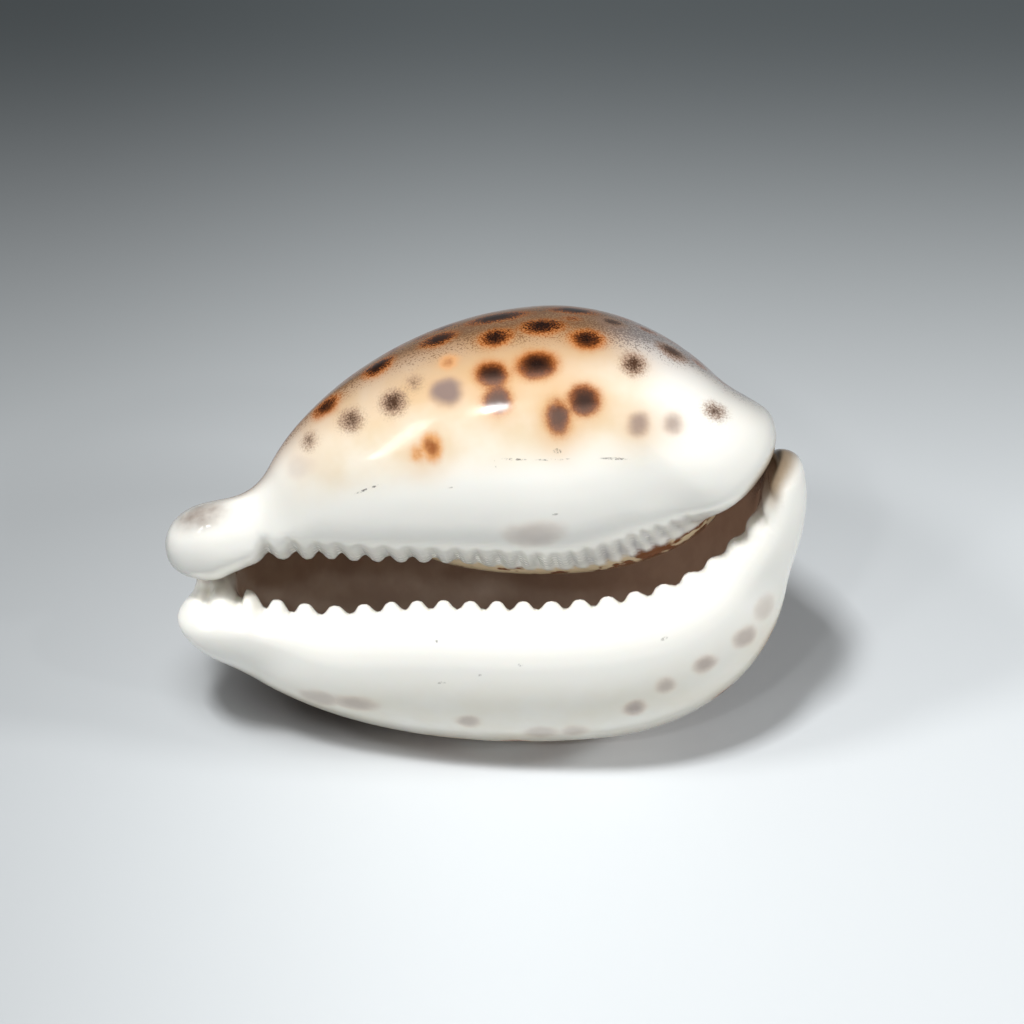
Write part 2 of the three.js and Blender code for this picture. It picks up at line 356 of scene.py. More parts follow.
@dataclass(frozen=True)
class TeethRow:
    """One row of teeth: rounded ridges left between grooves that cross the slit's edge, in mm.

    The teeth run from one station to the other, closer together towards the back by crowding and lower
    there by taper. Reach is the distance from the slit's edge where a groove starts and where it is full.
    Starts and ends are the shares of the row over which it grows in and fades. Gap_round rounds the
    grooves' bottoms and gap_narrow narrows them. Over shorter_back, in shares of the row, they get shorter
    by the share shorter.
    """

    count: int
    from_x: float
    to_x: float
    height: float
    taper: float
    crowding: float
    reach: Pair
    starts: Pair
    ends: Pair
    gap_round: float
    gap_narrow: float
    shorter: float = 0.0
    shorter_back: Pair = (0.72, 0.95)

    def cut(self, slit: Slit, at: Along) -> Array:
        """Depth that the grooves take off the plain edge.

        Args:
            slit: the opening whose edge carries the row.
            at: the points' place by the slit.

        Returns:
            Depth in mm, 0 on a tooth's crest.
        """
        start, end = slit.arc_at(self.from_x), slit.arc_at(self.to_x)
        share = (at.arc - start) / (end - start)
        phase = (1 - self.crowding) * share + self.crowding * share ** 2
        # Broad rounded crests with narrower gaps between them.
        crest = np.cos(np.pi * (self.count - 1) * phase) ** 2
        rounded = np.sqrt(crest + self.gap_round ** 2) - self.gap_round
        wave = (1.0 - rounded / (math.hypot(1.0, self.gap_round) - self.gap_round)) ** self.gap_narrow
        height = self.height * smooth(*self.starts, share) * smooth(*self.ends, share)
        height = height * (1.0 + 0.5 * self.taper - self.taper * share)
        shorter = 1.0 - self.shorter * smooth(*self.shorter_back, share)
        return smooth(*self.reach, (np.abs(at.offset) - at.half) / shorter) * height * wave


@dataclass(frozen=True)
class InnerWhorl:
    """The rolled-in inner turn behind the columellar teeth: a thin shell, open on its far side, in mm."""

    centre: Triple = (13.0, 5.5, 0.0)
    front: float = 27.0
    back: float = 19.3
    radius: float = 10.3
    wall: float = 1.6
    wall_round: float = 0.5
    mouth_middle_z: float = -5.0
    mouth_half: float = 3.0
    mouth_from_y: float = 8.0
    mouth_round: float = 0.6

    def outside(self, points: Array) -> Array:
        """Distance to the turn's outer face."""
        half = np.where(points[..., 0] < self.centre[0], self.front, self.back)
        radii = np.stack([half, np.full_like(half, self.radius), np.full_like(half, self.radius)], -1)
        return ellipsoid(points, np.array(self.centre), radii)

    def distance(self, points: Array) -> Array:
        """Distance to the thin wall, with the opening on its far side left out."""
        outer = self.outside(points)
        wall = soft_max(outer, -(outer + self.wall), self.wall_round)
        mouth = np.maximum(np.abs(points[..., 2] - self.mouth_middle_z) - self.mouth_half,
                           self.mouth_from_y - points[..., 1])
        return soft_max(wall, -mouth, self.mouth_round)


@dataclass
class ShellForm:
    """The whole shell as distances: body, end lobes, wall, slit, teeth and inner turn, in mm.

    The wall is as thick as wall_back, and thicker by wall_base and wall_lip where their steps are full.
    """

    egg: Egg = field(default_factory=Egg)
    slit: Slit = field(default_factory=Slit)
    whorl: InnerWhorl = field(default_factory=InnerWhorl)
    lobes: tuple[Lobe, ...] = (
        Lobe((-36.4, 5.2, 3.6), (6.2, 5.4, 5.4), 7.5),
        Lobe((-36.4, -4.8, 3.2), (6.2, 5.6, 5.4), 6.0),
        Lobe((31.4, 10.2, 3.5), (7.5, 6.6, 7.5), 5.0),
        Lobe((34.2, 3.9, 1.0), (7.8, 10.2, 8.0), 5.0))
    lip_row: TeethRow = TeethRow(
        count=22, from_x=-36.4, to_x=35.4, height=1.65, taper=0.6, crowding=0.114,
        reach=(3.8, 1.4), starts=(-0.10, 0.04), ends=(1.06, 0.93), gap_round=0.4, gap_narrow=1.5, shorter=0.6)
    columella_row: TeethRow = TeethRow(
        count=23, from_x=-31.0, to_x=28.0, height=0.8, taper=0.7, crowding=0.27,
        reach=(5.5, 1.8), starts=(-0.03, 0.03), ends=(1.08, 0.85), gap_round=0.35, gap_narrow=1.2)
    teeth_z: Pair = (-3.0, 2.0)
    wall_back: float = 2.3
    wall_base: float = 5.0
    wall_base_z: Pair = (-8.0, 10.0)
    wall_lip: float = 1.5
    wall_lip_y: Pair = (4.0, -16.0)
    wall_lip_z: Pair = (-20.0, 5.0)
    slot_round: float = 1.5
    hollow_round: float = 0.8
    hollow_round_slit: float = 2.4
    hollow_round_off: Pair = (14.0, 5.0)
    turn_sunk: float = 1.5
    turn_cut: float = 0.5
    turn_fillet: float = 1.5
    roll_columella: float = 0.40
    roll_columella_off: Pair = (19.0, 8.0)
    roll_lip: float = -0.22
    roll_lip_off: Pair = (9.0, 18.0)
    roll_lip_end_off: Pair = (32.0, 24.0)
    roll_z: Pair = (-4.0, 3.0)
    roll_edge_off: Pair = (0.5, 2.5)
    roll_probe: float = 0.4

    def outer(self, points: Array) -> Array:
        """Distance to the outside of the body and its lobes."""
        body = self.egg.distance(points)
        for lobe in self.lobes:
            body = lobe.joined(points, body)
        return body

    def wall(self, points: Array) -> Array:
        """Thickness of the wall: thin over the dorsum, thick along the base and the outer lip."""
        y, z = points[..., 1], points[..., 2]
        lip = self.wall_lip * smooth(*self.wall_lip_y, y) * smooth(*self.wall_lip_z, z)
        return self.wall_back + self.wall_base * smooth(*self.wall_base_z, z) + lip

    def hollow(self, points: Array) -> Array:
        """Distance to the hollow."""
        return self.egg.distance(points) + self.wall(points)

    def without_whorl(self, points: Array, at: Along) -> Array:
        """Distance to the shell before its inner turn is joined on.

        Args:
            points: places in mm.
            at: their place by the slit.

        Returns:
            Distance in mm, negative in the wall.
        """
        z = points[..., 2]
        off = np.abs(at.offset) - at.half
        slot = soft_max(off, self.slit.floor(at.arc) - z, self.slot_round)
        shell = rounded_cut(self.outer(points), -slot, self.slit.edge_round(at))
        rim = self.hollow_round + self.hollow_round_slit * smooth(*self.hollow_round_off, off)
        shell = rounded_cut(shell, -self.hollow(points), rim)
        row = np.where(at.offset < 0, self.lip_row.cut(self.slit, at), self.columella_row.cut(self.slit, at))
        return shell + smooth(*self.teeth_z, z) * row

    def distance(self, points: Array, at: Along | None = None) -> Array:
        """Distance to the finished shell.

        Args:
            points: places in mm.
            at: their place by the slit, where it is known already.

        Returns:
            Distance in mm, negative in the wall.
        """
        at = at or self.slit.beside(points)
        sunk = self.egg.distance(points) + self.turn_sunk
        turn = soft_max(self.whorl.distance(points), sunk, self.turn_cut)
        return soft_min(self.without_whorl(points, at), turn, self.turn_fillet)

    def roll_in(self, points: Array) -> Array:
        """How the broad faces of both lips roll towards the slit, as a slope to add to their normals.

        The slopes are too gentle to move an outline, so only the way that light falls on them shows them.

        Args:
            points: places in mm.

        Returns:
            A vector in mm per mm at each point.
        """
        at = self.slit.beside(points)
        off = np.abs(at.offset) - at.half
        columella = self.roll_columella * smooth(*self.roll_columella_off, off)
        lip = self.roll_lip * smooth(*self.roll_lip_off, off) * smooth(*self.roll_lip_end_off, off)
        share = np.where(at.offset < 0, lip, columella)
        share = share * smooth(*self.roll_z, points[..., 2]) * smooth(*self.roll_edge_off, off)
        probe = self.roll_probe
        ahead, behind = ([np.abs(self.slit.beside(points + step * axis).offset) for axis in np.eye(3)]
                         for step in (probe, -probe))
        return -share[..., None] * (np.stack(ahead, -1) - np.stack(behind, -1)) / (2 * probe)

    def slope(self, points: Array, reach: float = 0.05) -> Array:
        """Direction in which the distance grows, by differences over reach.

        Args:
            points: places in mm.
            reach: half the width of the difference.

        Returns:
            The gradient at each point.
        """
        return np.stack([(self.distance(points + reach * axis) - self.distance(points - reach * axis))
                         / (2 * reach) for axis in np.eye(3)], -1)


# ---------------------------------------------------------------- spots

class SpotKind(Enum):
    """How a spot sits in the enamel."""

    BOLD = "bold"          # dark pigment near the surface, with a warm rim
    SPECKLED = "speckled"  # built up of fine brown dots
    BURIED = "buried"      # veiled by later layers, so lilac grey and soft
    RUSTY = "rusty"        # thin orange brown pigment

    @property
    def tone(self) -> str:
        """Name of the field that holds this kind's strength."""
        return self.value + "_tone"


@dataclass(frozen=True)
class Spot:
    """One spot: place by station and turn about the long axis, size along and across, in mm and degrees.

    Turn 0 faces the base, 90 the columellar side, 180 the dorsum and -90 the outer lip's side. Strength
    is the share of pigment, glow the warmth around the spot, lean its turn from the long axis, and veil
    how far clear layers cover the side that faces the base.
    """

    x: float
    turn: float
    along: float
    across: float
    kind: SpotKind
    strength: float = 1.0
    glow: float = 0.0
    lean: float = 0.0
    veil: float = 0.0


B, S, V, R = SpotKind.BOLD, SpotKind.SPECKLED, SpotKind.BURIED, SpotKind.RUSTY
# Each row gives a spot's values in their order above.
SEEN_SPOTS: tuple[Spot, ...] = tuple(Spot(*row) for row in (
    (10.8, 89, 5.3, 4.2, B, 1.0, 0.7), (4.8, 86, 4.0, 3.4, B, 1.0, 0.8), (16.4, 84, 4.1, 3.3, B, 1.0, 0.8),
    (-2.9, 92, 4.9, 4.6, B, 0.9, 0.5), (4.6, 100, 8.0, 5.0, B, 0.9, 0.5),
    (14.4, 104, 6.0, 4.4, B, 0.95, 0.3), (9.9, 77, 4.9, 3.6, B, 1.0, 0.8, 0, 0.15),
    (4.2, 76, 4.1, 3.3, B, 0.95, 0.8, -20, 0.6), (4.6, 70, 3.4, 3.2, B, 0.95, 0.7, 0, 0.15),
    (15.5, 69, 3.9, 3.8, B, 0.95, 0.7, 0, 0.5), (12.0, 65, 2.9, 4.1, B, 0.9, 0.8, 0, 0.6),
    (22.0, 79, 3.3, 3.2, S, 1.0, 0.3), (26.8, 90, 4.4, 4.2, S, 0.9, 0.1),
    (31.6, 71, 2.8, 2.5, S, 0.9, 0.05, -30), (21.9, 64, 2.8, 2.9, V, 0.8, 0.3),
    (26.3, 65, 2.4, 2.4, V, 0.65, 0.15), (-1.8, 74, 4.5, 3.6, V, 1.0, 0.4),
    (-8.9, 75, 3.6, 3.4, S, 1.0, 0.4), (-6.0, 78, 2.1, 1.9, S, 0.6, 0.4),
    (-14.7, 75, 3.4, 2.9, S, 0.95, 0.3), (-20.8, 76, 2.5, 2.3, S, 0.7, 0.2),
    (-11.0, 89, 4.4, 4.4, B, 0.95, 0.5), (-18.3, 84, 4.2, 3.0, B, 0.9, 0.5),
    (-1.3, 81, 2.1, 1.8, R, 0.7, 0.5), (7.2, 25.5, 7.5, 3.2, V, 0.35), (-4.4, 62, 2.3, 3.2, R, 1.0, 0.25),
    (-6.4, 61, 1.1, 1.5, R, 0.9, 0.3), (-22.4, 70, 4.5, 3.0, V, 0.18, 0.1), (-5.5, -70, 2.8, 2.6, V, 0.5),
    (3.9, -75, 4.0, 3.0, V, 0.4), (8.5, -75, 3.4, 2.6, V, 0.4), (17.0, -69, 2.8, 2.8, V, 0.75),
    (21.4, -64, 2.3, 2.4, V, 0.5), (26.9, -63, 2.9, 2.8, V, 0.6), (32.4, -64, 3.2, 3.2, V, 0.5),
    (35.4, -61, 3.2, 3.6, V, 0.3), (-25.3, -70, 5.0, 3.2, V, 0.4), (-20.4, -68, 5.5, 3.0, V, 0.5)))


@dataclass(frozen=True)
class Mark:
    """A thin dark crack or a speck of dirt in the enamel, between two places given as station and turn.

    Width is in mm, and share says how dark it is.
    """

    start: Pair
    end: Pair
    width: float = 0.22
    share: float = 0.8


MARKS: tuple[Mark, ...] = tuple(Mark(*row) for row in (
    ((-15.9, 53.6), (-11.0, 54.9)), ((-3.2, 49.2), (-1.6, 49.4), 0.16, 0.4), ((3.2, 56.4), (8.2, 54.8)),
    ((8.0, 54.8), (13.5, 54.2)), ((16.0, 54.1), (21.2, 53.8)), ((10.8, 56.9), (12.2, 56.3), 0.5, 0.9),
    ((3.4, 56.4), (3.6, 53.0), 0.18, 0.5), ((9.6, 34.3), (11.0, 34.8), 0.2, 0.5),
    ((-8.8, -54.5), (-6.9, -54.0), 0.4, 0.4), ((-3.0, -51.2), (-2.1, -50.8), 0.35, 0.4),
    ((2.5, -47.4), (3.6, -47.2), 0.35, 0.4), ((-7.9, -36.4), (-7.4, -36.0), 0.5, 0.7),
    ((21.4, -46.4), (22.9, -45.8), 0.35, 0.4)))


@dataclass
class SpotPattern:
    """All spots of the shell: those listed one by one, and seeded ones over the hidden back.

    For the seeded ones the pairs give the range that each value is drawn from. A spot marks points up to
    far from its middle, its tone and glow fade over so many mm outside it, and its depth shrinks by the
    share sink of a point's distance from the plane through its middle.
    """

    form: ShellForm
    seen: tuple[Spot, ...] = SEEN_SPOTS
    seed: int = 85
    tries: int = 2600
    stations: Pair = (-36.0, 37.0)
    turns: Pair = (94.0, 276.0)
    sizes: Pair = (2.0, 5.6)
    shapes: Pair = (0.72, 1.0)
    leans: Pair = (-70.0, 70.0)
    strengths: Pair = (0.7, 1.0)
    glows: Pair = (0.1, 0.5)
    bold_share: float = 0.72
    bold_or_buried_share: float = 0.84
    swell_turns: float = 194.0
    clearance: float = 0.7
    off_axis: float = 6.0
    ray: Triple = (2.0, 46.0, 0.1)
    probe: float = 0.2
    far: float = 9.0
    unmarked: float = -4.0
    veil_edge: Pair = (-0.2, 0.8)
    tone_fade: float = 0.8
    glow_fade: float = 2.1
    sink: float = 0.35

    def surface_point(self, x: float, turn: float) -> Array:
        """Point of the outside at a station and turn.

        Args:
            x: station along the shell in mm.
            turn: angle about the long axis in degrees.

        Returns:
            The point in mm.
        """
        angle = math.radians(turn)
        reach = np.arange(*self.ray)
        ray = np.stack([np.full_like(reach, x), reach * math.sin(angle), reach * math.cos(angle)], -1)
        inside = self.form.outer(ray) < 0
        return ray[int(np.nonzero(inside)[0][-1])] if inside.any() else ray[0]

    def outward(self, point: Array) -> Array:
        """Unit normal of the outside at a point."""
        steps = self.probe * np.eye(3)
        grown = np.array([self.form.outer(point + step) - self.form.outer(point - step) for step in steps])
        return grown / np.linalg.norm(grown)

    def scattered(self) -> list[Spot]:
        """Seeded spots over the dorsum, kept apart from each other and from those seen.

        Returns:
            The added spots.
        """
        rng = np.random.default_rng(self.seed)
        taken = [(self.surface_point(s.x, s.turn), max(s.along, s.across) / 2) for s in self.seen]
        made = []
        for _ in range(self.tries):
            x, turn = rng.uniform(*self.stations), rng.uniform(*self.turns)
            # They grow by a third towards the middle of the back.
            swell = math.sin(math.radians(turn - self.turns[0]) * 180 / self.swell_turns)
            size = rng.uniform(*self.sizes) * (0.75 + 0.25 * swell)
            shape, kind_draw, lean = rng.uniform(*self.shapes), rng.uniform(), rng.uniform(*self.leans)
            point = self.surface_point(x, turn)
            gap = min(np.linalg.norm(point - other) - radius for other, radius in taken) - size / 2
            if gap < self.clearance or np.linalg.norm(point[1:]) < self.off_axis:
                continue
            taken.append((point, size / 2))
            kind = B if kind_draw < self.bold_share else V if kind_draw < self.bold_or_buried_share else S
            strength, glow = rng.uniform(*self.strengths), rng.uniform(*self.glows)
            made.append(Spot(x, turn, size, size * shape, kind, strength, glow, lean))
        return made

    def fields(self, points: Array) -> dict[str, Array]:
        """Where the pigment of each kind of spot lies, with the glow and the veil.

        Args:
            points: places in mm.

        Returns:
            Arrays by field name: per kind the depth inside the nearest spot, in mm and below 0 outside,
            and its tone, then the warm glow around all spots and the veil over them, from 0 to 1.
        """
        made = {kind.value: np.full(len(points), self.unmarked) for kind in SpotKind}
        made |= {kind.tone: np.zeros(len(points)) for kind in SpotKind}
        veil, unwarmed = np.zeros(len(points)), np.ones(len(points))
        for spot in (*self.seen, *self.scattered()):
            centre = self.surface_point(spot.x, spot.turn)
            normal = self.outward(centre)
            near = np.linalg.norm(points - centre, axis=1) < self.far
            off = points[near] - centre
            along = np.cross(np.cross(normal, (1.0, 0.0, 0.0)), normal)
            along /= np.linalg.norm(along)
            across = np.cross(normal, along)
            base_side = -off @ across / (spot.across / 2)
            veil[near] = np.maximum(veil[near], spot.veil * smooth(*self.veil_edge, base_side))
            turn = math.radians(spot.lean)
            along, across = (math.cos(turn) * along + math.sin(turn) * across,
                             math.cos(turn) * across - math.sin(turn) * along)
            reach = np.hypot(off @ along / (spot.along / 2), off @ across / (spot.across / 2))
            depth = (1 - reach) * min(spot.along, spot.across) / 2 - self.sink * np.abs(off @ normal)
            outside = np.maximum(-depth, 0.0)
            depths, tones = made[spot.kind.value], made[spot.kind.tone]
            depths[near] = np.maximum(depths[near], depth)
            tones[near] = np.maximum(tones[near], np.exp(-outside / self.tone_fade) * spot.strength)
            unwarmed[near] *= 1 - spot.glow * np.exp(-(outside / self.glow_fade) ** 2)
        return {**made, "glow": 1 - unwarmed, "veil": veil}


# ---------------------------------------------------------------- nodes

def fineness(size_mm: float) -> float:
    """Scale of a noise whose blotches are about size_mm across."""
    return 1.0 / (size_mm * MM)


class Step(Enum):
    """A step in working out a finish: node type, its settings, inputs in their order, and output.

    Ease takes a number, where its step starts and where it is full, and the two values that it leads
    from and to, 0 and 1 unless given. Noise takes a place, its scale, detail and roughness.
    """

    STORED = "ShaderNodeAttribute", {}, (), "Fac"
    PLACE = "ShaderNodeTexCoord", {}, (), "Object"
    AXES = "ShaderNodeSeparateXYZ", {}, (0,), "X"
    PLUS = "ShaderNodeMath", {"operation": "ADD"}, (0, 1), 0
    MINUS = "ShaderNodeMath", {"operation": "SUBTRACT"}, (0, 1), 0
    TIMES = "ShaderNodeMath", {"operation": "MULTIPLY"}, (0, 1), 0
    LARGER = "ShaderNodeMath", {"operation": "MAXIMUM"}, (0, 1), 0
    EASE = ("ShaderNodeMapRange", {"interpolation_type": "SMOOTHSTEP"},
            ("Value", "From Min", "From Max", "To Min", "To Max"), 0)
    NOISE = "ShaderNodeTexNoise", {"normalize": True}, ("Vector", "Scale", "Detail", "Roughness"), "Fac"
    MIX = "ShaderNodeMix", {"data_type": "RGBA"}, (0, 6, 7), 2
    DARKEN = "ShaderNodeMix", {"data_type": "RGBA", "blend_type": "MULTIPLY"}, (0, 6, 7), 2
    BLEND = "ShaderNodeMix", {"data_type": "FLOAT"}, (0, 2, 3), 0
    FIT = "ShaderNodeMapping", {"vector_type": "TEXTURE"}, ("Vector", "Location", "Rotation", "Scale"), 0
    BALL = "ShaderNodeTexGradient", {"gradient_type": "SPHERICAL"}, (0,), "Fac"
    BUMP = "ShaderNodeBump", {}, ("Strength", "Distance", "Height"), 0


@dataclass
class Shades:
    """A material's nodes, with the places on its object and the fields stored on its mesh at hand."""

    name: str
    fields: tuple[str, ...] = ()
    material: bpy.types.Material = field(init=False)
    place: Socket = field(init=False)
    stored: dict[str, Socket] = field(init=False)

    def __post_init__(self) -> None:
        """Starts the material."""
        self.material = bpy.data.materials.new(self.name)
        self.material.use_nodes = True
        self.place = self.add(Step.PLACE)
        self.stored = {name: self.add(Step.STORED, attribute_name=name) for name in self.fields}

    def feed(self, node: bpy.types.Node, inputs: dict[int | str, Given]) -> None:
        """Links sockets to a node's inputs, and sets numbers, vectors and hex colours on them.

        Args:
            node: the node.
            inputs: by name or index, what each input gets.
        """
        for name, value in inputs.items():
            if isinstance(value, Socket):
                self.material.node_tree.links.new(value, node.inputs[name])
            else:
                node.inputs[name].default_value = linear(value) if isinstance(value, str) else value

    def add(self, step: Step, *inputs: Given, **settings: str) -> Socket:
        """Adds one node with its settings and links.

        Args:
            step: what the node does.
            inputs: what its inputs get, in the step's order.
            settings: attributes to set besides the step's own.

        Returns:
            The socket that gives the result.
        """
        kind, always, names, output = step.value
        node = self.material.node_tree.nodes.new(kind)
        for name, value in {**always, **settings}.items():
            setattr(node, name, value)
        self.feed(node, dict(zip(names, inputs)))
        return node.outputs[output]

    def finished(self, inputs: dict[int | str, Given]) -> bpy.types.Material:
        """Feeds the surface shader and gives the finished material."""
        self.feed(self.material.node_tree.nodes["Principled BSDF"], inputs)
        return self.material


# ---------------------------------------------------------------- finishes

@dataclass(frozen=True)
class Enamel:
    """Cowrie enamel: aragonite laid down in clear layers and kept polished by the animal's mantle.

    It gives the eye a porcelain gloss, with colours that seem to lie a little under the surface.
    """

    base: str = "#faf8f0"
    outer_lip: str = "#f2ecdc"
    cream: str = "#e6d3b4"
    warm: str = "#dcae76"
    back_warm: str = "#946c49"
    back_cool: str = "#aaa29f"
    dot_warm: str = "#684731"
    dot_cool: str = "#665c5a"
    halo: str = "#bd6f2c"
    rim: str = "#8a4a20"
    brown: str = "#4d2914"
    dark: str = "#20110c"
    speckle: str = "#3f2617"
    speckle_halo: str = "#9c7c66"
    lilac: str = "#917d76"
    lilac_ring: str = "#d3a884"
    veil: str = "#8b7267"
    rust: str = "#94532b"
    rust_halo: str = "#dc9f66"
    # Painted shade: the grey laid into the grooves between the columellar teeth.
    groove: str = "#bab8bb"
    # The canals' inner faces: partly their own brownish cream, partly painted shade.
    canal: str = "#a08d76"
    callus: str = "#85766c"
    dirt: str = "#2e241c"
    roughness: float = 0.10
    smudge_roughness: float = 0.08
    ior: float = 1.56
    # The share of light that goes under the surface, and how far its red, green and blue spread there.
    translucent: float = 0.12
    spread: Triple = (1.0, 0.72, 0.5)
    spread_mm: float = 2.0
    # The real dots of pigment are finer. These are as coarse as the picture needs to show them.
    stipple_mm: float = 0.24
    blotch_mm: float = 7.0
    wobble_mm: float = 1.5
    buried_mm: float = 2.6
    broken_mm: float = 0.7
    ragged_mm: float = 0.5
    smudge_mm: float = 3.0
    ripple_mm: float = 5.0
    ripple_strength: float = 0.12
    ripple_high_mm: float = 0.4
    glow_share: float = 0.8
    mark_deep_mm: float = 2.5

    def ground(self, shades: Shades, grain: Socket) -> Socket:
        """Colour of the enamel between the spots.

        Args:
            shades: the material's nodes.
            grain: fine noise, 0 on average.

        Returns:
            The colour's socket.
        """
        add, stored = shades.add, shades.stored
        blotch = add(Step.NOISE, shades.place, fineness(self.blotch_mm), 3.0)
        lip = add(Step.TIMES, stored["outer_lip"], add(Step.EASE, blotch, 0.25, 0.7, 0.35, 1.0))
        ground = add(Step.MIX, lip, self.base, self.outer_lip)
        creamy = add(Step.TIMES, stored["flank"], add(Step.EASE, blotch, 0.3, 0.7, 0.55, 1.0))
        ground = add(Step.MIX, creamy, ground, self.cream)
        ground = add(Step.MIX, add(Step.TIMES, stored["glow"], self.glow_share), ground, self.warm)
        back = add(Step.MIX, stored["cool"], self.back_warm, self.back_cool)
        ground = add(Step.MIX, stored["back"], ground, back)
        # Fine dots of brown pigment, crowded towards the back and around the dark spots there.
        near_spot = add(Step.EASE, stored[SpotKind.BOLD.value], -2.0, 0.2, 0.0, 0.5)
        crowd = add(Step.TIMES, stored["stipple"], add(Step.PLUS, 0.9, near_spot))
        uneven = add(Step.TIMES, add(Step.MINUS, blotch, 0.5), 0.35)
        level = add(Step.PLUS, add(Step.PLUS, grain, uneven), add(Step.TIMES, crowd, 0.16))
        cover = add(Step.EASE, stored["stipple"], 0.0, 0.35, 0.0, 0.65)
        dots = add(Step.TIMES, add(Step.EASE, level, 0.09, 0.19), cover)
        return add(Step.MIX, dots, ground, add(Step.MIX, stored["cool"], self.dot_warm, self.dot_cool))

    def spots(self, shades: Shades, grain: Socket, colour: Socket) -> Socket:
        """Spots of every kind over a ground, each built up from its rim or halo inwards.

        Args:
            shades: the material's nodes.
            grain: fine noise, 0 on average.
            colour: the ground they lie on.

        Returns:
            The colour's socket.
        """
        add, stored = shades.add, shades.stored
        wobble = add(Step.MINUS, add(Step.NOISE, shades.place, fineness(self.wobble_mm), 3.0, 0.6), 0.5)
        crowded = add(Step.PLUS, 0.6, add(Step.TIMES, stored["stipple"], 4.0))
        fringe = add(Step.PLUS, wobble, add(Step.TIMES, grain, crowded))
        dotted = add(Step.PLUS, wobble, add(Step.TIMES, grain, 2.2))
        broad = add(Step.MINUS, add(Step.NOISE, shades.place, fineness(self.buried_mm), 1.0), 0.5)
        broad = add(Step.TIMES, broad, 1.1)
        # Per kind: its noise, then layers from the outside in, with the colour of each, the depth in mm
        # where it starts and where it is full, and its share.
        layers = {
            V: (broad, ((self.lilac_ring, -1.1, 0.1, 0.45), (self.lilac, -0.7, 1.0, 0.95))),
            R: (wobble, ((self.rust_halo, -1.0, 0.2, 1.0), (self.rust, -0.1, 0.8, 0.9))),
            S: (dotted, ((self.speckle_halo, -1.1, 0.7, 0.85), (self.speckle, 0.0, 1.4, 0.92))),
            B: (fringe, ((self.halo, -1.3, 0.1, 0.8), (self.rim, -0.4, 0.5, 1.0),
                         (self.brown, 0.0, 0.9, 1.0), (self.dark, 0.4, 1.6, 0.95)))}
        for kind, (noise, coats) in layers.items():
            depth = add(Step.PLUS, stored[kind.value], noise)
            for tint, start, full, share in coats:
                cover = add(Step.TIMES, add(Step.EASE, depth, start, full, 0.0, share), stored[kind.tone])
                colour = add(Step.MIX, cover, colour, tint)
        # Later clear layers veil the side of a dark spot that faces the base.
        bold = add(Step.PLUS, stored[SpotKind.BOLD.value], wobble)
        veiled = add(Step.TIMES, stored["veil"], add(Step.EASE, bold, -0.4, 0.5))
        return add(Step.MIX, veiled, colour, self.veil)

    def marks(self, shades: Shades, pose: "RestingPose", pattern: SpotPattern) -> Socket:
        """Share of dirt in fine cracks and specks, broken up along their length.

        Args:
            shades: the material's nodes.
            pose: how the shell lies.
            pattern: gives places on the outside.

        Returns:
            The share's socket, from 0 to 1.
        """
        add, place = shades.add, shades.place
        broken = add(Step.EASE, add(Step.NOISE, place, fineness(self.broken_mm), 3.0, 0.7), 0.42, 0.58)
        ragged = add(Step.MINUS, add(Step.NOISE, place, fineness(self.ragged_mm)), 0.5)
        ragged = add(Step.TIMES, ragged, 1.6)
        total = None
        for mark in MARKS:
            first, last = (pattern.surface_point(*end) for end in (mark.start, mark.end))
            normal = pose.turned(pattern.outward(first)[None])[0]
            along = pose.turned((last - first)[None])[0]
            across = np.cross(normal, along)
            turn = tuple(Matrix((along, across, np.cross(along, across))).transposed().to_euler())
            length = float(np.linalg.norm(last - first)) / 2
            middle = tuple(pose.laid((first + last)[None] / 2)[0])
            local = add(Step.FIT, place, middle, turn, (length * MM, mark.width * MM, self.mark_deep_mm * MM))
            near = add(Step.BALL, local)
            shown = add(Step.EASE, add(Step.PLUS, near, add(Step.TIMES, ragged, near)), 0.15, 0.6)
            shown = add(Step.TIMES, shown, mark.share)
            total = shown if total is None else add(Step.LARGER, total, shown)
        return add(Step.TIMES, total, broken)

    def colour(self, shades: Shades) -> Socket:
        """Colour of the outside, without its dirt.

        Args:
            shades: the material's nodes.

        Returns:
            The colour's socket.
        """
        add, stored = shades.add, shades.stored
        grain = add(Step.MINUS, add(Step.NOISE, shades.place, fineness(self.stipple_mm), 1.0), 0.5)
        colour = self.spots(shades, grain, self.ground(shades, grain))
        # Painted shade: grey in the grooves between the columellar teeth.
        colour = add(Step.MIX, stored["groove"], colour, self.groove)
        # Painted shade over the canals' inner faces, on their own brownish cream.
        colour = add(Step.MIX, stored["canal"], colour, self.canal)
        uneven = add(Step.NOISE, shades.place, fineness(self.smudge_mm), 3.0)
        callus = add(Step.TIMES, stored["callus"], add(Step.EASE, uneven, 0.2, 0.7, 0.55, 1.0))
        return add(Step.MIX, callus, colour, self.callus)

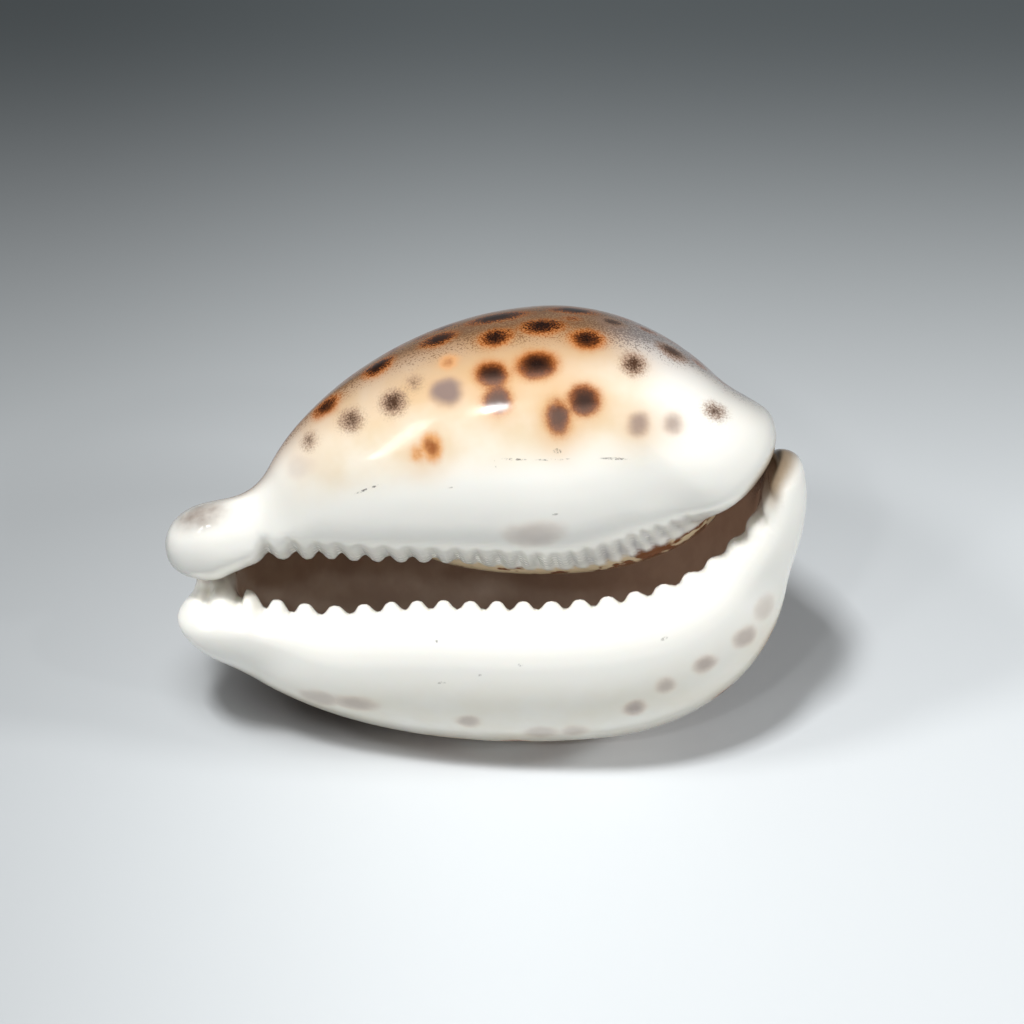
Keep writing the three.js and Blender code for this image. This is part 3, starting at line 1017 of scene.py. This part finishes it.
    def dress(self, fields: tuple[str, ...], lining: "Lining", pose: "RestingPose",
              pattern: SpotPattern) -> bpy.types.Material:
        """Builds the whole shell's material, its lining among it.

        Args:
            fields: the names of the fields stored on the mesh.
            lining: the finish of the hollow.
            pose: how the shell lies.
            pattern: gives places on the outside, for the marks.

        Returns:
            The material.
        """
        shades = Shades("cowrie_enamel_mantle_polished", fields)
        add, place, stored = shades.add, shades.place, shades.stored
        colour = add(Step.MIX, self.marks(shades, pose, pattern), self.colour(shades), self.dirt)
        colour = add(Step.MIX, stored["turn"], colour, lining.turn_colour(shades))
        colour = add(Step.MIX, stored["inside"], colour, lining.colour(shades))
        smudge = add(Step.NOISE, place, fineness(self.smudge_mm), 4.0, 0.6)
        gloss = add(Step.EASE, smudge, 0.35, 0.75, self.roughness, self.roughness + self.smudge_roughness)
        ripple = add(Step.NOISE, place, fineness(self.ripple_mm))
        return shades.finished({
            "Base Color": colour, "Roughness": add(Step.BLEND, stored["inside"], gloss, lining.roughness),
            "Normal": add(Step.BUMP, self.ripple_strength, self.ripple_high_mm * MM, ripple),
            "IOR": self.ior, "Subsurface Weight": self.translucent, "Subsurface Radius": self.spread,
            "Subsurface Scale": self.spread_mm * MM,
            # Painted glow: the lining gives off faint light that stands in for light coming through the wall,
            # more of it towards the back end.
            "Emission Color": lining.through,
            "Emission Strength": add(Step.TIMES, stored["through"], lining.painted_glow_share)})


@dataclass(frozen=True)
class Lining:
    """Lining of the hollow: thinner, duller aragonite, grey brown, partly dusty and partly painted shade."""

    # Grey browns of the hollow: partly dusty, partly painted shade.
    deep: str = "#b3a293"
    dust_and_shade: str = "#c2b4a4"
    turn: str = "#dcc7a4"
    turn_spot: str = "#7a4a2c"
    # Painted glow: faint light that the lining gives off, standing in for light that comes through the wall.
    through: str = "#c79f86"
    painted_glow_share: float = 0.11
    roughness: float = 0.45
    dust_mm: float = 4.0
    turn_spot_mm: float = 2.6

    def colour(self, shades: Shades) -> Socket:
        """Mottled grey brown of the hollow, partly dusty and partly painted shade."""
        dusty = shades.add(Step.NOISE, shades.place, fineness(self.dust_mm), 3.0)
        return shades.add(Step.MIX, shades.add(Step.EASE, dusty, 0.35, 0.7), self.deep, self.dust_and_shade)

    def turn_colour(self, shades: Shades) -> Socket:
        """Golden cream of the inner turn, with brown orange blotches, more of them at its back.

        Args:
            shades: the material's nodes.

        Returns:
            The colour's socket.
        """
        add = shades.add
        more = add(Step.TIMES, shades.stored["turn_back"], 0.14)
        level = add(Step.PLUS, more, add(Step.NOISE, shades.place, fineness(self.turn_spot_mm)))
        return add(Step.MIX, add(Step.EASE, level, 0.56, 0.66), self.turn, self.turn_spot)


@dataclass(frozen=True)
class FinishZones:
    """Where each part of the finish shows: depths, stations and levels in mm, turns in degrees."""

    lining_deep: Pair = (1.6, 0.5)
    lining_inside: Pair = (-1.0, -2.2)
    inner_turn_clear: Pair = (0.5, 1.2)
    inner_turn_near: Pair = (0.8, 0.3)
    inner_turn_back_x: Pair = (8.0, 20.0)
    cream_turn: Pair = (48.0, 64.0)
    cream_front_x: Pair = (-30.0, -12.0)
    cream_back_x: Pair = (28.0, 18.0)
    ragged: float = 7.0
    ragged_x: Pair = (26.0, 37.0)
    softened: float = 24.0
    softened_x: Pair = (26.0, 40.0)
    back: float = 0.9
    back_turn: Pair = (71.0, 91.0)
    back_lip_turn: Pair = (-92.0, -104.0)
    stipple_turn: Pair = (79.0, 92.0)
    stipple_lip: float = 0.9
    stipple_lip_turn: Pair = (-96.0, -110.0)
    stipple_thinned: float = 0.35
    stipple_thinned_turn: Pair = (120.0, 150.0)
    cool_x: Pair = (16.0, 24.0)
    # Painted shade in the columellar grooves: its strength, its most, and the stations and levels where it
    # shows.
    groove: float = 1.4
    groove_most: float = 0.85
    groove_x: Pair = (8.0, 16.0)
    groove_z: Pair = (0.0, 4.0)
    # Painted shade over the canals' inner faces, at the back end and in the front canal.
    canal_x: Pair = (34.5, 37.0)
    canal_off: Pair = (2.4, 0.2)
    canal_columella_off: Pair = (1.9, 1.0)
    canal_columella_z: Pair = (11.5, 9.5)
    front_canal: float = 0.6
    front_canal_x: Pair = (-29.0, -33.0)
    front_canal_off: Pair = (0.8, -0.5)
    outer_lip_off: Pair = (8.0, 17.0)
    outer_lip_z: Pair = (-2.0, 4.0)
    callus: float = 0.9
    callus_at: Triple = (-36.9, 10.0, 5.0)
    callus_shape: Triple = (1.2, 0.6, 0.8)
    callus_off: Pair = (5.2, 1.2)
    # Painted glow of the lining: its share at the front, and the stations over which it grows to full.
    painted_glow_front: float = 0.25
    painted_glow_x: Pair = (0.0, 26.0)

    def pigmented(self, turn: Array, soft: Array, columella: Pair, lip: Pair, lip_share: float) -> Array:
        """Pigment over the back, from the columellar side to the outer lip's side.

        Args:
            turn: turn of each point, in degrees.
            soft: how much wider each edge is there.
            columella: turns where the edge starts and is full on the columellar side.
            lip: the same on the outer lip's side.
            lip_share: share of the pigment on the outer lip's side.

        Returns:
            The share at each point.
        """
        return np.maximum(smooth(columella[0], columella[1] + soft, turn),
                          lip_share * smooth(lip[0], lip[1] - soft, turn))

    def fields(self, form: ShellForm, points: Array) -> dict[str, Array]:
        """Shares of each part of the finish.

        Args:
            form: the shell's form.
            points: the mesh's points in mm.

        Returns:
            Arrays by field name.
        """
        x, y, z = points.T
        at = form.slit.beside(points)
        off = np.abs(at.offset) - at.half
        turn = np.degrees(np.arctan2(y, z))
        on_turn = (smooth(*self.inner_turn_clear, form.without_whorl(points, at))
                   * smooth(*self.inner_turn_near, np.abs(form.whorl.outside(points))))
        inside = (smooth(*self.lining_deep, form.hollow(points))
                  * smooth(*self.lining_inside, form.outer(points)) * (1 - on_turn))
        flank = (smooth(*self.cream_turn, turn) * smooth(*self.cream_front_x, x)
                 * smooth(*self.cream_back_x, x))
        # The pigment's edge is softer and more ragged around the back end.
        soft = self.softened * smooth(*self.softened_x, x)
        waves = np.sin(1.1 * np.hypot(y, z) + 0.4 * x)
        edge = turn + self.ragged * smooth(*self.ragged_x, x) * waves
        back = self.back * self.pigmented(edge, soft, self.back_turn, self.back_lip_turn, 1.0)
        stipple = self.pigmented(edge, soft, self.stipple_turn, self.stipple_lip_turn, self.stipple_lip)
        stipple *= 1 - self.stipple_thinned * smooth(*self.stipple_thinned_turn, np.abs(turn))
        # Painted shade in the grooves between the columellar teeth.
        groove = form.columella_row.cut(form.slit, at) * smooth(*self.groove_x, x) * (at.offset > 0)
        groove = np.clip(self.groove * groove * smooth(*self.groove_z, z), 0, self.groove_most)
        # Painted shade over the canals' inner faces, on their own brownish cream.
        columella = smooth(*self.canal_columella_off, off) * smooth(*self.canal_columella_z, z)
        canal = form.slit.between(self.canal_x, at.arc) * smooth(*self.canal_off, off)
        canal = canal * np.where(at.offset < 0, 1.0, columella)
        front = self.front_canal * smooth(*self.front_canal_x, x) * smooth(*self.front_canal_off, off)
        outer_lip = (at.offset < 0) * smooth(*self.outer_lip_off, off) * smooth(*self.outer_lip_z, z)
        from_callus = np.linalg.norm((points - self.callus_at) / self.callus_shape, axis=1)
        through = self.painted_glow_front + (1 - self.painted_glow_front) * smooth(*self.painted_glow_x, x)
        return {"inside": inside, "turn": on_turn, "turn_back": smooth(*self.inner_turn_back_x, x),
                "through": inside * through, "flank": flank, "back": back, "stipple": stipple,
                "cool": smooth(*self.cool_x, x), "groove": groove, "canal": np.maximum(canal, front),
                "outer_lip": outer_lip, "callus": self.callus * smooth(*self.callus_off, from_callus)}


# ---------------------------------------------------------------- the shell

@dataclass(frozen=True)
class RestingPose:
    """How the shell lies: base turned up to one side, front end dipped, then moved onto the floor."""

    roll: float = 65.0
    pitch: float = -8.5
    shift: Triple = (0.860, -7.538, 29.865)

    def matrix(self) -> Array:
        """Turn from the shell's own axes to the world's."""
        pitch, roll = math.radians(self.pitch), math.radians(self.roll)
        return np.array(Matrix.Rotation(pitch, 3, "Y") @ Matrix.Rotation(roll, 3, "X"))

    def turned(self, directions: Array) -> Array:
        """Unit directions in the frame of the CAD model."""
        made = directions @ self.matrix().T
        return made / (np.linalg.norm(made, axis=1)[:, None] + 1e-9)

    def laid(self, points: Array) -> Array:
        """Points in metres in the frame of the CAD model."""
        return (points @ self.matrix().T + np.array(self.shift)) * MM


@dataclass
class CowrieShell:
    """The whole shell as one mesh, meshed from its form at an even grain, in mm."""

    form: ShellForm = field(default_factory=ShellForm)
    pose: RestingPose = field(default_factory=RestingPose)
    enamel: Enamel = field(default_factory=Enamel)
    lining: Lining = field(default_factory=Lining)
    zones: FinishZones = field(default_factory=FinishZones)
    pattern: SpotPattern = field(init=False)
    grain: float = 0.63
    quick_grain: float = 0.9
    low: Triple = (-48.0, -34.0, -38.0)
    high: Triple = (47.0, 35.0, 20.0)
    band: float = 3.0
    least_steep: float = 0.05
    normal_reach: float = 0.3
    shadow_offset: float = 0.12
    shadow_mesh_offset: float = 0.3

    def __post_init__(self) -> None:
        """Takes the spots for this form."""
        self.pattern = SpotPattern(self.form)

    def mesh_points(self) -> tuple[Array, Array]:
        """Meshes the form on a grid and draws each point onto the surface.

        Returns:
            The points in mm and the four-sided faces.
        """
        grain = self.grain
        axes = [np.arange(low, high, grain) for low, high in zip(self.low, self.high)]
        at = self.form.slit.beside(np.stack(np.meshgrid(*axes[:2], indexing="ij"), -1))
        points = np.stack(np.meshgrid(*axes, indexing="ij"), -1)
        shape = points.shape[:3]
        wide = Along(*(np.broadcast_to(v[..., None], shape) for v in (at.arc, at.offset, at.half)))
        distance = self.form.distance(points, wide).astype(np.float32)
        grid = openvdb.FloatGrid(background=self.band)
        grid.copyFromArray(np.clip(distance, -self.band, self.band))
        corners, faces = grid.convertToQuads(0.0)
        corners = np.array(self.low) + grain * np.asarray(corners)
        slope = self.form.slope(corners)
        steep = np.maximum((slope ** 2).sum(-1), self.least_steep)[:, None]
        return corners - self.form.distance(corners)[:, None] * slope / steep, np.asarray(faces)

    def normals(self, points: Array) -> Array:
        """Shading normals of the laid shell, with the roll of the lips in them."""
        slope = self.form.slope(points, self.normal_reach)
        slope = slope / (np.linalg.norm(slope, axis=1)[:, None] + 1e-9)
        return self.pose.turned(slope + self.form.roll_in(points))

    def build(self) -> bpy.types.Object:
        """Makes the shell's object, lays it down and dresses it.

        Returns:
            The object.
        """
        points, faces = self.mesh_points()
        placed = self.pose.laid(points)
        placed[:, 2] = np.maximum(placed[:, 2], 0.0)
        mesh = bpy.data.meshes.new("cowrie_shell")
        mesh.from_pydata(placed.tolist(), [], faces.tolist())
        mesh.polygons.foreach_set("use_smooth", np.ones(len(faces), bool))
        mesh.normals_split_custom_set_from_vertices(self.normals(points).tolist())
        fields = {**self.zones.fields(self.form, points), **self.pattern.fields(points)}
        for name, values in fields.items():
            stored = mesh.attributes.new(name, "FLOAT", "POINT")
            stored.data.foreach_set("value", values.astype(np.float32))
        mesh.materials.append(self.enamel.dress(tuple(fields), self.lining, self.pose, self.pattern))
        shell = bpy.data.objects.new("cowrie_shell", mesh)
        shell.cycles.shadow_terminator_offset = self.shadow_offset
        shell.cycles.shadow_terminator_geometry_offset = self.shadow_mesh_offset
        bpy.context.scene.collection.objects.link(shell)
        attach(shell, "root")
        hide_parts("shell")
        return shell


# ---------------------------------------------------------------- studio

@dataclass(frozen=True)
class StudioFloor:
    """A large sheet of pale grey matt card, in metres, with painted shade away from the camera and to the
    left.
    """

    # The card's tone near the camera, then the painted shade that darkens it far off and to the left.
    near: str = "#d9dddf"
    far: str = "#54595b"
    far_y: Pair = (-0.03, 0.15)
    left: str = "#808080"
    left_x: Pair = (0.01, -0.09)
    left_share: float = 0.45
    # Painted shadow under the shell: its colour, middle, reach, and where it is full.
    painted_shadow: str = "#6f6b68"
    painted_shadow_at: Triple = (-0.014, -0.008, 0.0)
    painted_shadow_reach: Triple = (0.034, 0.0155, 0.01)
    painted_shadow_full: float = 0.6
    roughness: float = 0.55
    side: float = 6.0

    def dress(self) -> bpy.types.Material:
        """Paints the sheet.

        Returns:
            The material.
        """
        shades = Shades("card_paper_matt_pale")
        add = shades.add
        x = add(Step.AXES, shades.place)
        # Painted shade: the card darkens away from the camera and towards the left.
        paper = add(Step.MIX, add(Step.EASE, x.node.outputs["Y"], *self.far_y), self.near, self.far)
        paper = add(Step.DARKEN, add(Step.EASE, x, *self.left_x, 0.0, self.left_share), paper, self.left)
        # Painted shadow: the paper is painted darker where the shell rests, so the shade there looks deeper.
        spot = add(Step.FIT, shades.place, self.painted_shadow_at, (0.0, 0.0, 0.0), self.painted_shadow_reach)
        in_painted_shadow = add(Step.EASE, add(Step.BALL, spot), 0.0, self.painted_shadow_full)
        return shades.finished({"Base Color": add(Step.DARKEN, in_painted_shadow, paper, self.painted_shadow),
                                "Roughness": self.roughness})

    def build(self) -> bpy.types.Object:
        """Makes the sheet.

        Returns:
            The floor's object.
        """
        half = self.side / 2
        mesh = bpy.data.meshes.new("studio_floor")
        corners = [(-half, -half, 0), (half, -half, 0), (half, half, 0), (-half, half, 0)]
        mesh.from_pydata(corners, [], [(0, 1, 2, 3)])
        mesh.materials.append(self.dress())
        floor = bpy.data.objects.new("studio_floor", mesh)
        bpy.context.scene.collection.objects.link(floor)
        return floor


@dataclass(frozen=True)
class Softbox:
    """One soft light: where it stands, how big it is and how strong, in metres and watts."""

    name: str
    place: Triple
    size: Pair
    power: float
    tint: str = "#ffffff"
    aim: Triple = (0.0, 0.0, 0.02)
    glossy: bool = True

    def build(self) -> bpy.types.Object:
        """Makes the light and points it at its aim.

        Returns:
            The light's object.
        """
        lamp = bpy.data.lights.new(self.name, "AREA")
        lamp.shape = "RECTANGLE"
        lamp.size, lamp.size_y = self.size
        lamp.energy = self.power
        lamp.color = linear(self.tint)[:3]
        light = bpy.data.objects.new(self.name, lamp)
        light.location = self.place
        light.visible_glossy = self.glossy
        towards = Vector(self.aim) - Vector(self.place)
        light.rotation_euler = towards.to_track_quat("-Z", "Y").to_euler()
        bpy.context.scene.collection.objects.link(light)
        return light


@dataclass(frozen=True)
class StudioLight:
    """Plain soft light in a pale room.

    The key hangs above the shell, with a box at each side and a weak fill low at the right. These show no
    highlight of their own. The strip and the two small boxes at the front give the gloss its highlights.
    """

    boxes: tuple[Softbox, ...] = (
        Softbox("key_softbox", (-0.115, -0.075, 0.60), (0.08, 0.08), 2.68, "#fdfeff", glossy=False),
        Softbox("left_softbox", (-0.40, -0.06, 0.50), (0.10, 0.10), 1.22, glossy=False),
        Softbox("right_softbox", (0.53, -0.05, 0.37), (0.10, 0.10), 1.45, glossy=False),
        Softbox("low_right_softbox", (0.40, -0.48, 0.16), (0.12, 0.12), 0.10, glossy=False),
        Softbox("strip_softbox", (-0.40, -0.42, 0.44), (0.05, 0.26), 0.30),
        Softbox("small_softbox", (-0.177, -0.347, 0.526), (0.036, 0.036), 0.30),
        Softbox("end_softbox", (0.42, -0.24, 0.44), (0.03, 0.03), 0.25))
    room: str = "#dfe8ee"
    room_strength: float = 0.05

    def build(self) -> None:
        """Makes the lights and the room's even glow."""
        for box in self.boxes:
            LOG.info("%s hung", box.build().name)
        world = bpy.data.worlds.new("pale_room")
        world.use_nodes = True
        glow = world.node_tree.nodes["Background"]
        glow.inputs["Color"].default_value = linear(self.room)
        glow.inputs["Strength"].default_value = self.room_strength
        bpy.context.scene.world = world
        bpy.context.scene.view_settings.view_transform = "Standard"


@dataclass(frozen=True)
class PhotoCamera:
    """The camera at the photograph's viewing angle, looking down at the shell's middle.

    Lens and sensor are in mm, width_seen is what the frame takes in at the target, in metres, and middle
    is the target's place in the frame, in pixels of frame_size.
    """

    elevation: float = 50.0
    lens: float = 85.0
    sensor: float = 36.0
    width_seen: float = 0.1365
    middle: Pair = (490.0, 541.0)
    frame_size: float = 1024.0

    def build(self, target: Vector) -> bpy.types.Object:
        """Makes the camera.

        Args:
            target: the point that lies at middle in the frame.

        Returns:
            The camera's object.
        """
        lift = math.radians(self.elevation)
        back = Vector((0.0, -math.cos(lift), math.sin(lift)))
        lens = bpy.data.cameras.new("photo_camera")
        lens.lens, lens.sensor_width = self.lens, self.sensor
        lens.shift_x = (self.frame_size / 2 - self.middle[0]) / self.frame_size
        lens.shift_y = (self.middle[1] - self.frame_size / 2) / self.frame_size
        camera = bpy.data.objects.new("photo_camera", lens)
        camera.location = target + back * (self.width_seen / self.sensor * self.lens)
        camera.rotation_euler = (-back).to_track_quat("-Z", "Y").to_euler()
        bpy.context.scene.collection.objects.link(camera)
        bpy.context.scene.camera = camera
        return camera


def main() -> None:
    """Builds the shell, the studio and the camera, and reports each."""
    logging.basicConfig(level=logging.INFO, format="%(name)s: %(message)s")
    pose = RestingPose()
    shell = CowrieShell(pose=pose).build()
    LOG.info("%s: %d faces", shell.name, len(shell.data.polygons))
    floor = StudioFloor().build()
    LOG.info("%s laid", floor.name)
    StudioLight().build()
    camera = PhotoCamera().build(Vector(pose.shift) * MM)
    LOG.info("%s set", camera.name)


if __name__ == "__main__":
    main()
